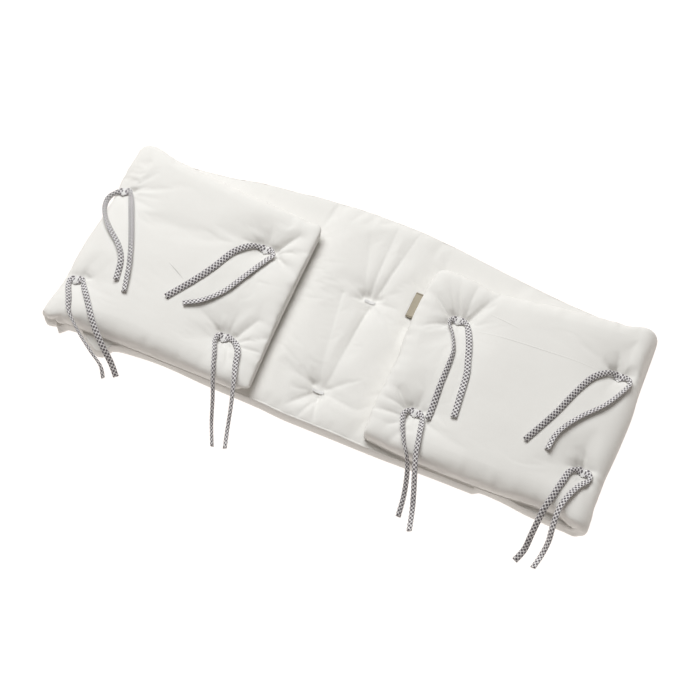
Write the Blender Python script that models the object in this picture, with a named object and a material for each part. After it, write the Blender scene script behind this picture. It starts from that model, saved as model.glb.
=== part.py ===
# A crib bumper, folded: one long padded cotton band, arched along its top edge and tapered to both ends.
# It lies on its outer face. Both ends are folded in over the middle panel, so the outer face, with
# eight ties of flat braid, shows on the two flaps.
# Metres, +Z up, +X along the band and +Y towards its arched edge. The origin is on the surface that the
# band lies on, under the middle of the folded band. The tables are in millimetres.
import math
from collections import namedtuple

import bmesh
import bpy
from mathutils import Vector
from mathutils.bvhtree import BVHTree

MM = 0.001

# The folded band at its middle, Y = 0: X of its two ends and of the two turns of the cloth.
END_LEFT_X = -91.0
TURN_LEFT_X = -356.5
TURN_RIGHT_X = 357.5
END_RIGHT_X = 71.5
TURN_RADIUS = 11.5  # of the middle of the cloth where it turns over
PANEL_MIDDLE_Z = 11.0  # height of the middle panel's mid-thickness
FLAP_MIDDLE_Z = PANEL_MIDDLE_Z + 2 * TURN_RADIUS

# The band's length, as it was before it was folded, in five parts one after another.
FLAP_LEFT = END_LEFT_X - TURN_LEFT_X
TURN = math.pi * TURN_RADIUS
PANEL = TURN_RIGHT_X - TURN_LEFT_X
FLAP_RIGHT = TURN_RIGHT_X - END_RIGHT_X
PANEL_START = FLAP_LEFT + TURN
PANEL_STOP = PANEL_START + PANEL
BAND = PANEL_STOP + TURN + FLAP_RIGHT

# The middle of the pad's box in the tables below, which becomes the origin.
MIDDLE = (-0.4, -2.42)

# How the pad is made up
SEAM_LEVEL = 0.9  # the seam's place in the thickness: the outer face wraps round the sides
SEAM_AT_FOLD = 0.98  # beside a fold the two layers meet, and the seam is drawn in between them
FOLD_REACH = 57.0  # how far from a fold that lasts
CORNER_RADIUS = 9.0
CROWN = 2.0  # how far the faces swell between their long edges

# The ties: flat braided cord
BRAID_WIDTH = 8.5
BRAID_THICK = 3.4
GATHERED = 0.72  # share of its width that the braid keeps where it is sewn down and turns
CLEAR = 0.35  # gap between pieces that lie on each other
OVER_RIM = 2.5  # how far beside the braid the cloth still lifts it
ROUTE_STEP = 17.0
TURN_STEP = 5.0
SEWN_REACH = 17.0  # length beside the tack where the braid is gathered
TACK_WIDTH = 4.6
TACK_THICK = 1.0
TACK_SPAN = 7.0  # from the middle of a tack to its foot
PANEL_TACK_SPAN = 7.6
TACK_SHARES = (-1.0, -0.86, -0.62, 0.0, 0.62, 0.86, 1.0)
TACK_RISE = 1.3  # what the braid's own curve adds under a tack

# The label
LABEL_LONG = 40.0
LABEL_DEEP = 12.0
LABEL_THICK = 1.2

Level = namedtuple("Level", "at value")
Edge = namedtuple("Edge", "part x y")
Half = namedtuple("Half", "part x outer inner")
Rim = namedtuple("Rim", "outer_inset panel_inset outer_depth inner_inset inner_rise")
Run = namedtuple("Run", "part start stop steps")
Tack = namedtuple("Tack", "name face x y depth reach")
Crease = namedtuple("Crease", "face x0 y0 x1 y1 depth width")
Tie = namedtuple("Tie", "left right")

# Where the two turns and the two ends lie: X by Y.
LEFT_TURN_X = (Level(-156, -361), Level(-112, -356), Level(0, -356.5), Level(64, -358), Level(139, -360.5))
RIGHT_TURN_X = (Level(-156, 361), Level(-112, 356), Level(7, 357.5), Level(63, 354.5), Level(139, 352))
LEFT_END_X = (Level(-156, -81), Level(-60, -87.5), Level(17, -91), Level(103, -94))
RIGHT_END_X = (
    Level(-156, 79), Level(-100, 74), Level(-40, 74), Level(10, 70), Level(45, 68), Level(75, 68.5), Level(106, 72),
)

# The long edges. X is at the band's middle.
TOP_EDGE = (
    Edge("left", -91, 109), Edge("left", -118, 112.5), Edge("left", -148, 115.5), Edge("left", -188, 118.5),
    Edge("left", -248, 124.5), Edge("left", -300, 130), Edge("left", -331, 134), Edge("left", -356.5, 138),
    Edge("panel", -356.5, 138), Edge("panel", -301, 140), Edge("panel", -243, 147), Edge("panel", -201, 156),
    Edge("panel", -158, 161), Edge("panel", -101, 168), Edge("panel", -36, 170), Edge("panel", 19, 169.5),
    Edge("panel", 77, 167), Edge("panel", 114, 162), Edge("panel", 193, 152), Edge("panel", 262, 145),
    Edge("panel", 357.5, 141), Edge("right", 357.5, 141), Edge("right", 340, 137), Edge("right", 303, 132.5),
    Edge("right", 255, 126), Edge("right", 200, 116.5), Edge("right", 178, 113), Edge("right", 156, 110.5),
    Edge("right", 118, 116), Edge("right", 90, 117), Edge("right", 71.5, 114),
)
BOTTOM_EDGE = (
    Edge("left", -91, -153), Edge("left", -116, -155), Edge("left", -330, -155), Edge("left", -356.5, -158),
    Edge("panel", -356.5, -158), Edge("panel", -349, -163.4), Edge("panel", -340, -153.4),
    Edge("panel", -326, -152.4), Edge("panel", -306, -164.4), Edge("panel", -292, -172.4),
    Edge("panel", -284, -174.9), Edge("panel", -274, -159.4), Edge("panel", -262, -155.4),
    Edge("panel", -206, -151.4), Edge("panel", -140, -154.4), Edge("panel", -70, -156.4),
    Edge("panel", -22, -159.4), Edge("panel", 90, -159.4), Edge("panel", 180, -157.4),
    Edge("panel", 229, -156.9), Edge("panel", 238, -151.4), Edge("panel", 265, -152.4),
    Edge("panel", 300, -156.4), Edge("panel", 357.5, -159), Edge("right", 357.5, -157),
    Edge("right", 336, -150), Edge("right", 292, -151), Edge("right", 265, -154), Edge("right", 180, -156),
    Edge("right", 135, -155), Edge("right", 71.5, -150),
)

# Half thicknesses to the outer and to the inner face.
THICKNESS = (
    Half("left", -91, 11.4, 9.6), Half("left", -121, 12.6, 11.0), Half("left", -220, 13.2, 11.3),
    Half("left", -330, 12.4, 11.3), Half("left", -356.5, 10.4, 11.1), Half("panel", -356.5, 10.4, 11.1),
    Half("panel", -335, 11.0, 11.1), Half("panel", -101, 11.0, 11.0), Half("panel", -84, 11.0, 11.6),
    Half("panel", -58, 11.0, 14.2), Half("panel", 0, 11.0, 15.0), Half("panel", 45, 11.0, 14.0),
    Half("panel", 62, 11.0, 12.0), Half("panel", 74, 11.0, 11.1), Half("panel", 95, 11.0, 11.0),
    Half("panel", 335, 11.0, 11.1), Half("panel", 357.5, 10.4, 11.1), Half("right", 357.5, 10.4, 11.1),
    Half("right", 332, 12.4, 11.3), Half("right", 215, 13.2, 11.3), Half("right", 100, 12.6, 11.2),
    Half("right", 71.5, 11.4, 10.2),
)

# The shape of the rim, from the seam inwards: a steep side of the outer face, a soft roll of the inner one.
# The panel's long sides lean out over the floor that they lie on.
RIM = (
    Rim(1.2, 2.6, 0.0, 1.2, 0.0),
    Rim(0.0, 0.8, 0.22, 3.5, 0.35),
    Rim(0.4, 0.0, 0.56, 7.0, 0.62),
    Rim(3.4, 1.1, 0.83, 11.0, 0.82),
    Rim(10.0, 5.0, 0.96, 16.0, 0.94),
    Rim(22.0, 22.0, 1.0, 22.0, 1.0),
)
# Grid lines between the rims: along the band in runs, and across it by their share of the width.
RUNS = (
    Run("left", -113, -190, 9), Run("left", -190, -325, 6), Run("left", -325, -356.5, 3),
    Run("left_turn", 0, 180, 7), Run("panel", -356.5, -300, 5), Run("panel", -300, -270, 6),
    Run("panel", -270, -100, 5), Run("panel", -100, 90, 20), Run("panel", 90, 222, 5), Run("panel", 222, 246, 4),
    Run("panel", 246, 357.5, 4), Run("right_turn", 0, 180, 7), Run("right", 357.5, 326, 3),
    Run("right", 326, 175, 7), Run("right", 175, 93.5, 9),
)
ACROSS = (0.05, 0.10, 0.15, 0.20, 0.26, 0.36, 0.48, 0.58, 0.65, 0.71, 0.77, 0.84, 0.92)

# The tacks pull both faces together. Those on the flaps hold a tie each.
TACKS = (
    Tack("tack_1", "left", -365, 53, 9.0, 16), Tack("tack_2", "left", -357.5, -98, 9.0, 16),
    Tack("tack_3", "left", -150, 47, 13.5, 19), Tack("tack_4", "left", -142, -97, 13.5, 19),
    Tack("tack_5", "right", 126, 50, 13.5, 19), Tack("tack_6", "right", 127, -97, 13.5, 19),
    Tack("tack_7", "right", 345, 57, 11.0, 17), Tack("tack_8", "right", 350, -88, 11.0, 17),
    Tack("panel_tack_1", "panel", 4, 41, 12.0, 19), Tack("panel_tack_2", "panel", -3, -108, 12.0, 19),
)

# Creases that run out from the tacks, deep at their first end: depth is down into the cloth.
CREASES = (
    Crease("left", -350, 26, -175, 36, 2.8, 17), Crease("left", -357, 62, -339, 70, 2.6, 8),
    Crease("left", -139, 49, -96, 92, 4.4, 8), Crease("left", -124, 42, -90, 58, -2.4, 8),
    Crease("left", -130, 32, -90, 20, 3.8, 8), Crease("left", -160, 50, -192, 60, 3.4, 9),
    Crease("left", -133, -90, -94, -58, 3.8, 8), Crease("left", -126, -97, -90, -98, -1.8, 8),
    Crease("left", -128, -104, -92, -122, 3.2, 8), Crease("left", -150, -90, -184, -76, 3.2, 9),
    Crease("right", 120, 55, 76, 86, 4.8, 8), Crease("right", 123, 60, 92, 108, -2.6, 8),
    Crease("right", 134, 56, 158, 106, 3.8, 9), Crease("right", 114, 44, 76, 58, 3.0, 8),
    Crease("right", 112, 36, 76, 18, 3.2, 8), Crease("right", 117, -90, 80, -66, 4.6, 8),
    Crease("right", 114, -101, 78, -112, 3.8, 8), Crease("right", 118, -106, 84, -138, 3.0, 9),
    Crease("right", 340, 64, 322, 90, 3.4, 9), Crease("right", 353, 66, 360, 94, 2.4, 9),
    Crease("right", 346, -80, 328, -58, 3.4, 9),
    Crease("panel", 1, 48, -25, 164, 3.6, 9), Crease("panel", 9, 48, 27, 164, 3.6, 9),
    Crease("panel", -10, 50, -62, 152, 2.4, 11), Crease("panel", 7, 30, 8, -104, 5.5, 9),
    Crease("panel", 22, 30, 26, -60, -1.6, 10), Crease("panel", -34, 30, -18, -60, 3.0, 10),
    Crease("panel", -5, 36, -50, 44, 2.4, 9), Crease("panel", 0, -116, 10, -156, 3.4, 8),
    Crease("panel", -10, -114, -30, -146, 4.4, 8), Crease("panel", 8, -113, 52, -118, 2.4, 9),
)

# Each tie's two tails, from its tack to the free end: (x, y), or (x, y, z) where it hangs clear of the pad.
TIES = {
    "tie_1": Tie(
        left=((-374, 50, 37), (-380, 40, 37), (-380, 27, 38), (-370, 7), (-352, -12), (-328, -32), (-314, -52),
              (-306, -81)),
        right=((-357, 54), (-350, 44), (-339, 25), (-316, -19), (-301, -53), (-288, -93)),
    ),
    "tie_2": Tie(
        left=((-365, -100), (-362, -111), (-351, -129), (-340, -148), (-318, -166, 38), (-295, -180, 28),
              (-278, -188, 14), (-270, -198, 3)),
        right=((-349, -96), (-343, -104), (-329, -120), (-305, -149), (-284, -168, 36), (-267, -179, 16),
               (-256, -189, 3)),
    ),
    "tie_3": Tie(
        left=((-158, 46), (-169, 40), (-184, 21), (-197, -11), (-213, -42), (-234, -78)),
        right=((-141, 47), (-136, 38), (-141, 26), (-155, -9), (-169, -39), (-188, -62), (-210, -77)),
    ),
    "tie_4": Tie(
        left=((-149, -98), (-149, -108), (-140, -127), (-130, -152), (-119, -178, 30), (-110, -203, 9),
              (-97, -229, 3)),
        right=((-134, -95), (-122, -102), (-114, -113), (-109, -129), (-101, -151), (-93, -178, 30),
               (-88, -202, 9), (-81, -225, 3)),
    ),
    "tie_5": Tie(
        left=((118, 49), (118, 39), (127, 23), (139, -1), (144, -27), (146, -60), (148, -92)),
        right=((135, 50), (144, 43), (152, 28), (161, -1), (169, -34), (173, -71), (175, -92)),
    ),
    "tie_6": Tie(
        left=((119, -97), (115, -106), (119, -120), (131, -144), (145, -164, 32), (153, -190, 11),
              (158, -222, 3)),
        right=((135, -98), (140, -107), (146, -131), (151, -152), (158, -172, 36), (165, -190, 18),
               (171, -208, 5), (178, -234, 3)),
    ),
    "tie_7": Tie(
        left=((337, 57), (327, 50), (314, 35), (301, 4), (289, -32), (268, -81)),
        right=((354, 58), (361, 51), (358, 38), (343, 7), (321, -21), (307, -43), (300, -61), (298, -82)),
    ),
    "tie_8": Tie(
        left=((342, -89), (334, -98), (331, -113), (327, -137), (323, -157, 43), (320, -183, 24), (318, -200, 7),
              (312, -217, 3)),
        right=((358, -89), (360, -97), (351, -112), (342, -137), (340, -154, 44), (341, -172, 33), (342, -183, 18),
               (340, -197, 5), (336, -217, 3)),
    ),
}
LABEL_PLACE = (62.4, 56, 25.6)


def smooth_curve(rows):
    """A function through (at, value) pairs, smooth and with no overshoot between them."""
    places = [float(row[0]) for row in rows]
    values = [float(row[1]) for row in rows]
    rises = [(values[k + 1] - values[k]) / (places[k + 1] - places[k]) for k in range(len(rows) - 1)]
    slopes = [0.0] * len(rows)
    for k in range(1, len(rows) - 1):
        before, after = rises[k - 1], rises[k]
        if before * after > 0:
            slopes[k] = 2 * before * after / (before + after)
    slopes[0], slopes[-1] = rises[0], rises[-1]

    def at(place):
        if place <= places[0]:
            return values[0]
        if place >= places[-1]:
            return values[-1]
        k = next(n for n in range(len(places) - 1) if place <= places[n + 1])
        step = places[k + 1] - places[k]
        t = (place - places[k]) / step
        return (
            (2 * t**3 - 3 * t**2 + 1) * values[k]
            + (t**3 - 2 * t**2 + t) * step * slopes[k]
            + (3 * t**2 - 2 * t**3) * values[k + 1]
            + (t**3 - t**2) * step * slopes[k + 1]
        )

    return at


def along_of(part, x):
    """The distance along the band of this X on a part of it; on a turn, of this angle in degrees."""
    return {
        "left": END_LEFT_X - x,
        "left_turn": FLAP_LEFT + TURN * x / 180,
        "panel": PANEL_START + x - TURN_LEFT_X,
        "right_turn": PANEL_STOP + TURN * x / 180,
        "right": PANEL_STOP + TURN + TURN_RIGHT_X - x,
    }[part]


left_turn_x = smooth_curve(LEFT_TURN_X)
right_turn_x = smooth_curve(RIGHT_TURN_X)
left_end_x = smooth_curve(LEFT_END_X)
right_end_x = smooth_curve(RIGHT_END_X)
top_edge = smooth_curve([(along_of(row.part, row.x), row.y) for row in TOP_EDGE])
bottom_edge = smooth_curve([(along_of(row.part, row.x), row.y) for row in BOTTOM_EDGE])
outer_half = smooth_curve([(along_of(row.part, row.x), row.outer) for row in THICKNESS])
inner_half = smooth_curve([(along_of(row.part, row.x), row.inner) for row in THICKNESS])


def folded(along, y):
    """The middle of the cloth at this place, and the direction in which its inner face looks."""
    if along < FLAP_LEFT:
        share = along / FLAP_LEFT
        x = left_end_x(y) * (1 - share) + left_turn_x(y) * share
        return Vector((x, y, FLAP_MIDDLE_Z)), Vector((0, 0, -1))
    if along < PANEL_START:
        angle = (along - FLAP_LEFT) / TURN_RADIUS
        inwards = Vector((math.sin(angle), 0, -math.cos(angle)))
        centre = Vector((left_turn_x(y), y, PANEL_MIDDLE_Z + TURN_RADIUS))
        return centre - TURN_RADIUS * inwards, inwards
    if along < PANEL_STOP:
        share = (along - PANEL_START) / PANEL
        x = left_turn_x(y) * (1 - share) + right_turn_x(y) * share
        return Vector((x, y, PANEL_MIDDLE_Z)), Vector((0, 0, 1))
    if along < PANEL_STOP + TURN:
        angle = (along - PANEL_STOP) / TURN_RADIUS
        inwards = Vector((-math.sin(angle), 0, math.cos(angle)))
        centre = Vector((right_turn_x(y), y, PANEL_MIDDLE_Z + TURN_RADIUS))
        return centre - TURN_RADIUS * inwards, inwards
    share = (along - PANEL_STOP - TURN) / FLAP_RIGHT
    x = right_turn_x(y) * (1 - share) + right_end_x(y) * share
    return Vector((x, y, FLAP_MIDDLE_Z)), Vector((0, 0, -1))


def shown_face(along):
    """Which face shows there from above: the outer one of the flaps, or the panel's inner one."""
    if along < FLAP_LEFT + TURN / 2:
        return "left"
    return "right" if along > PANEL_STOP + TURN / 2 else "panel"


def width_at(along):
    """The long edges' Y there, with the band's four corners rounded."""
    low, high = bottom_edge(along), top_edge(along)
    reach = CORNER_RADIUS - min(along, BAND - along)
    if reach > 0:
        drawn = CORNER_RADIUS - math.sqrt(max(CORNER_RADIUS**2 - reach**2, 0))
        low, high = low + drawn, high - drawn
    return low, high


def lines_along():
    """Each grid line along the band, as (row of the rim or None, from which end, place)."""
    rim = len(RIM) - 1
    places = []
    for run in RUNS:
        start, stop = along_of(run.part, run.start), along_of(run.part, run.stop)
        places += [start + (stop - start) * k / run.steps for k in range(run.steps)]
    places.append(along_of(RUNS[-1].part, RUNS[-1].stop))
    lines = [(k, 0, 0.0) for k in range(rim)] + [(None, 0, place) for place in places]
    return lines + [(rim - 1 - k, 1, 0.0) for k in range(rim)]


def lines_across():
    rim = len(RIM) - 1
    lines = [(k, 0, 0.0) for k in range(rim)] + [(None, 0, share) for share in (0.0, *ACROSS, 1.0)]
    return lines + [(rim - 1 - k, 1, 0.0) for k in range(rim)]


def relief(point, face):
    """How far the tacks and creases pull a face in at this point, in millimetres."""
    depth = 0.0
    for tack in TACKS:
        if tack.face == face:
            away = (point - tack_roots[tack.name]).length
            depth += tack.depth * math.exp(-((away / tack.reach) ** 1.4))
    for crease in CREASES:
        if crease.face == face:
            start, run = Vector((crease.x0, crease.y0)), Vector((crease.x1 - crease.x0, crease.y1 - crease.y0))
            share = min(max((point.xy - start).dot(run) / run.length_squared, 0.0), 1.0)
            away = (point.xy - start - share * run).length
            depth += crease.depth * math.sqrt(1 - 0.96 * share) * math.exp(-((away / crease.width) ** 2))
    return depth


def tack_root(tack):
    """Where a tack meets the face that shows, before it is pulled in."""
    low, high = 0.0, BAND
    if tack.face == "left":
        high = FLAP_LEFT + TURN / 2
    elif tack.face == "right":
        low = PANEL_STOP + TURN / 2
    else:
        low, high = PANEL_START, PANEL_STOP
    steps = 400
    places = [low + (high - low) * k / steps for k in range(steps + 1)]
    return min((face_point(place, tack.y) for place in places), key=lambda point: abs(point.x - tack.x))


def seam_share(along):
    """The seam's place in the thickness, nearer the inner face beside a fold."""
    away = min(abs(along - FLAP_LEFT - TURN / 2), abs(along - PANEL_STOP - TURN / 2))
    return SEAM_LEVEL + (SEAM_AT_FOLD - SEAM_LEVEL) * min(max(2 * (1 - away / FOLD_REACH), 0.0), 1.0)


def face_point(along, y):
    """The face that shows, without its rim and its relief."""
    middle, inwards = folded(along, y)
    half = inner_half(along) if shown_face(along) == "panel" else -outer_half(along)
    return middle + half * inwards


def rim_inset(row, face, along):
    """How far row `row` of the rim stands in from the pad's edge."""
    rim = RIM[row]
    if face == "inner" and row:
        return rim.inner_inset
    into_panel = min(along - FLAP_LEFT - TURN / 2, PANEL_STOP + TURN / 2 - along)
    share = min(max(0.5 + into_panel / 40, 0.0), 1.0)
    return rim.outer_inset * (1 - share) + rim.panel_inset * share


def pad_point(line, cross, face):
    """The place of the grid's corner on lines `line` and `cross` of one face of the pad."""
    on_seam = line[0] == 0 or cross[0] == 0
    rim_face = "outer" if on_seam else face
    depth = "outer_depth" if face == "outer" else "inner_rise"
    along = line[2]
    if line[0] is not None:
        along = rim_inset(line[0], rim_face, 0.0)
        along = BAND - along if line[1] else along
    low, high = width_at(along)
    last = RIM[-1].outer_inset
    if cross[0] is None:
        y = (low + last) * (1 - cross[2]) + (high - last) * cross[2]
    else:
        drawn = rim_inset(cross[0], rim_face, along)
        y = high - drawn if cross[1] else low + drawn
    middle, inwards = folded(along, y)
    outer, inner = outer_half(along), inner_half(along)
    swell = CROWN * (1 - ((2 * y - low - high) / (high - low)) ** 4)
    shown = shown_face(along)
    if face == "outer":
        level = -outer - (swell if shown != "panel" else 0.0)
    else:
        level = inner + (swell * min(max((inner - 11.2) / 3.0, 0.0), 1.0) if shown == "panel" else 0.0)
    share = min(getattr(RIM[k], depth) for k in (line[0], cross[0], -1) if k is not None)
    seam = -outer + seam_share(along) * (outer + inner)
    point = middle + (seam + (level - seam) * share) * inwards
    if (face == "inner") == (shown == "panel"):
        pulled = relief(point, shown) * share
        point += (pulled if face == "outer" else -pulled) * inwards
    return point * MM


def face_grid(bm, face):
    """One face of the pad: a flat grid, moved corner by corner onto the folded band."""
    lines, crosses = lines_along(), lines_across()
    made = bmesh.ops.create_grid(bm, x_segments=len(lines) - 1, y_segments=len(crosses) - 1, size=0.5)["verts"]
    for vert in made:
        line = lines[round((vert.co.x + 0.5) * (len(lines) - 1))]
        cross = crosses[round((vert.co.y + 0.5) * (len(crosses) - 1))]
        vert.co = pad_point(line, cross, face)
    return made


def make_pad():
    bm = bmesh.new()
    face_grid(bm, "outer")
    face_grid(bm, "inner")
    bmesh.ops.remove_doubles(bm, verts=bm.verts[:], dist=1e-5)
    bmesh.ops.recalc_face_normals(bm, faces=bm.faces[:])
    return add_mesh("pad", bm, "cotton", smooth=True)


def add_mesh(name, bm, finish, smooth=False):
    mesh = bpy.data.meshes.new(name)
    bm.to_mesh(mesh)
    bm.free()
    if smooth:
        mesh.shade_smooth()
    mesh.materials.append(materials[finish])
    obj = bpy.data.objects.new(name, mesh)
    parts.objects.link(obj)
    return obj


def make_material(name, colour, roughness):
    material = bpy.data.materials.new(name)
    material.use_nodes = True
    shader = material.node_tree.nodes["Principled BSDF"]
    shader.inputs["Base Color"].default_value = (*colour, 1.0)
    shader.inputs["Roughness"].default_value = roughness
    shader.inputs["Metallic"].default_value = 0.0
    return material


def cloth_height(x, y, reach_x, reach_y):
    """The highest cloth, or the surface that the band lies on, within reach of this place."""
    highest = 0.0
    for k in range(9):
        turn = k * math.pi / 4
        aside = Vector((reach_x * math.cos(turn), reach_y * math.sin(turn), 0)) if k < 8 else Vector()
        hit = pad_surface.ray_cast((Vector((x, y, 100)) + aside) * MM, Vector((0, 0, -1)))[0]
        if hit:
            highest = max(highest, hit.z / MM)
    return highest


def lying_height(x, y, reach):
    """The height of a braid's middle where it lies on the cloth."""
    return cloth_height(x, y, reach, reach) + BRAID_THICK / 2 + CLEAR


def smooth_route(points, step):
    """Points about a step apart on a smooth curve through these."""
    ends = [2 * points[0] - points[1], *points, 2 * points[-1] - points[-2]]
    route = []
    for a, b, c, d in zip(ends, ends[1:], ends[2:], ends[3:]):
        steps = max(1, round((c - b).length / step))
        for k in range(steps):
            t = k / steps
            route.append(
                0.5 * (2 * b + (c - a) * t + (2 * a - 5 * b + 4 * c - d) * t**2 + (3 * b - a - 3 * c + d) * t**3)
            )
    return [*route, points[-1]]


def tail_points(tail):
    """A tail's points: those without a height of their own lie on the cloth."""
    return [
        Vector((x, y, height[0] if height else lying_height(x, y, BRAID_WIDTH / 2))) for x, y, *height in tail
    ]


def profile(name, width, thick, sides=8):
    """A flattened ring for a curve to carry along, kept out of the model."""
    curve = bpy.data.curves.new(name, "CURVE")
    spline = curve.splines.new("POLY")
    spline.points.add(sides - 1)
    for k, point in enumerate(spline.points):
        turn = -2 * math.pi * (k + 0.5) / sides
        round_off = 1 / math.cos(math.pi / sides)
        x = width / 2 * round_off * math.cos(turn)
        point.co = (x * MM, thick / 2 * round_off * math.sin(turn) * MM, 0, 1)
    spline.use_cyclic_u = True
    guide = bpy.data.objects.new(name, curve)
    guide.hide_render = True
    guide.display_type = "WIRE"
    guides.objects.link(guide)
    return guide


def add_strip(name, points, radii, guide, finish):
    """A flat strip that carries the guide's ring along these points."""
    curve = bpy.data.curves.new(name, "CURVE")
    curve.dimensions = "3D"
    curve.twist_mode = "Z_UP"
    spline = curve.splines.new("POLY")
    spline.points.add(len(points) - 1)
    for point, place, radius in zip(spline.points, points, radii):
        point.co = (*(place * MM), 1)
        point.radius = radius
    curve.bevel_mode = "OBJECT"
    curve.bevel_object = guide
    curve.use_fill_caps = True
    curve.materials.append(materials[finish])
    strip = bpy.data.objects.new(name, curve)
    parts.objects.link(strip)
    return strip


def make_tie(tack, tie, guide):
    under = Vector((tack.x, tack.y, lying_height(tack.x, tack.y, BRAID_WIDTH / 3)))
    left = tail_points(tie.left)
    right = tail_points(tie.right)
    sewn = smooth_route([*reversed(left[:3]), under, *right[:3]], TURN_STEP)
    far_left = smooth_route(left[2:], ROUTE_STEP)
    far_right = smooth_route(right[2:], ROUTE_STEP)
    route = [*reversed(far_left[1:]), *sewn, *far_right[1:]]
    radii = []
    for point in route:
        free = min((point - under).length / SEWN_REACH, 1.0)
        point.z = max(point.z, lying_height(point.x, point.y, BRAID_WIDTH / 2 + OVER_RIM * free))
        radii.append(GATHERED + (1 - GATHERED) * free**2)
    add_strip(tack.name.replace("tack", "tie"), route, radii, guide, "braid")


def make_tack(tack, guide):
    """A short bar of thread: over a tie and down to the cloth on both sides, or flat on the panel."""
    if tack.face == "panel":
        span, reach = Vector((PANEL_TACK_SPAN, 0)), (0, TACK_WIDTH / 2)
        over = 0.0
    else:
        span, reach = Vector((0, TACK_SPAN)), (TACK_WIDTH / 2, 0)
        over = lying_height(tack.x, tack.y, BRAID_WIDTH / 2) + (BRAID_THICK + TACK_THICK) / 2 + CLEAR + TACK_RISE
    points = []
    for share in TACK_SHARES:
        x, y = Vector((tack.x, tack.y)) + share * span
        lying = cloth_height(x, y, *reach) + TACK_THICK / 2 + CLEAR
        points.append(Vector((x, y, lying + max(over - lying, 0.0) * (1 - abs(share) ** 5))))
    add_strip(tack.name, points, [1.0] * len(points), guide, "thread")


def make_plate(name, long, deep, thick, place, finish):
    """A thin plate with its edges rounded."""
    bm = bmesh.new()
    bmesh.ops.create_cube(bm, size=1.0)
    bmesh.ops.scale(bm, vec=Vector((long, deep, thick)) * MM, verts=bm.verts[:])
    bmesh.ops.bevel(
        bm, geom=bm.edges[:], offset=thick * 0.35 * MM, segments=2, profile=0.5, affect="EDGES", clamp_overlap=True
    )
    bmesh.ops.translate(bm, vec=Vector(place) * MM, verts=bm.verts[:])
    return add_mesh(name, bm, finish)


for old in list(bpy.data.objects):
    bpy.data.objects.remove(old, do_unlink=True)
parts = bpy.data.collections.new("crib_bumper")
guides = bpy.data.collections.new("guides")
bpy.context.scene.collection.children.link(parts)
bpy.context.scene.collection.children.link(guides)

materials = {
    "cotton": make_material("cotton", (0.86, 0.85, 0.82), 0.9),
    "braid": make_material("braid", (0.42, 0.41, 0.42), 0.85),
    "thread": make_material("thread", (0.88, 0.87, 0.85), 0.8),
    "woven_tape": make_material("woven_tape", (0.45, 0.39, 0.30), 0.85),
}

tack_roots = {tack.name: tack_root(tack) for tack in TACKS}
pad = make_pad()
bpy.context.view_layer.update()
pad_surface = BVHTree.FromObject(pad, bpy.context.evaluated_depsgraph_get())

braid_ring = profile("braid_ring", BRAID_WIDTH, BRAID_THICK)
tack_ring = profile("tack_ring", TACK_WIDTH, TACK_THICK)
for tack in TACKS:
    if tack.face != "panel":
        make_tie(tack, TIES[tack.name.replace("tack", "tie")], braid_ring)
    make_tack(tack, tack_ring)
make_plate("label", LABEL_DEEP, LABEL_LONG, LABEL_THICK, LABEL_PLACE, "woven_tape")
for piece in parts.objects:
    piece.location = (-MIDDLE[0] * MM, -MIDDLE[1] * MM, 0.0)
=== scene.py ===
import math

import bmesh
import bpy
import numpy as np
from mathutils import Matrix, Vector, noise
from mathutils.bvhtree import BVHTree


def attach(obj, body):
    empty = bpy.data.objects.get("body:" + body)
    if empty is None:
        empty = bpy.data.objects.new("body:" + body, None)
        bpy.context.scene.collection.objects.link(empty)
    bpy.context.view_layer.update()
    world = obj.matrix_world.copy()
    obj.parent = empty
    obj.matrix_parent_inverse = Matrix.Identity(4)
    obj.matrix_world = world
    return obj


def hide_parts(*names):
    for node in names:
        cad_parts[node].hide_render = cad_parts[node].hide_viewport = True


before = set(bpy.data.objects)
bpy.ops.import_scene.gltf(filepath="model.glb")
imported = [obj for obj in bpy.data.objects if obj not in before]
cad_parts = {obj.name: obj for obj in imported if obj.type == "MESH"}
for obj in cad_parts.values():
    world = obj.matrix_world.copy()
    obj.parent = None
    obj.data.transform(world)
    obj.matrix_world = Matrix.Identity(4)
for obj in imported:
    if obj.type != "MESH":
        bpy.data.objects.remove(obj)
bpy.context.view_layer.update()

scene = bpy.context.scene
mm = 0.001
# lengths in the dictionaries are millimetres, measured from the middle of the folded band;
# originShift brings them to the model's own origin
originShift = np.array([0.4, 2.42, 0.0])


def smoothCurve(rows):
    # a curve through (place, value) rows that never swings past them
    places, values = np.array(rows, float).T
    rises = np.diff(values) / np.diff(places)
    slopes = np.concatenate([rises[:1], np.zeros(len(rows) - 2), rises[-1:]])
    for k in range(1, len(rows) - 1):
        if rises[k - 1] * rises[k] > 0:
            slopes[k] = 2 * rises[k - 1] * rises[k] / (rises[k - 1] + rises[k])

    def at(place):
        place = np.clip(np.asarray(place, float), places[0], places[-1])
        k = np.clip(np.searchsorted(places, place, side="right") - 1, 0, len(rises) - 1)
        step = places[k + 1] - places[k]
        t = (place - places[k]) / step
        return (
            (2 * t**3 - 3 * t**2 + 1) * values[k]
            + (t**3 - 2 * t**2 + t) * step * slopes[k]
            + (3 * t**2 - 2 * t**3) * values[k + 1]
            + (t**3 - t**2) * step * slopes[k + 1]
        )

    return at


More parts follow.
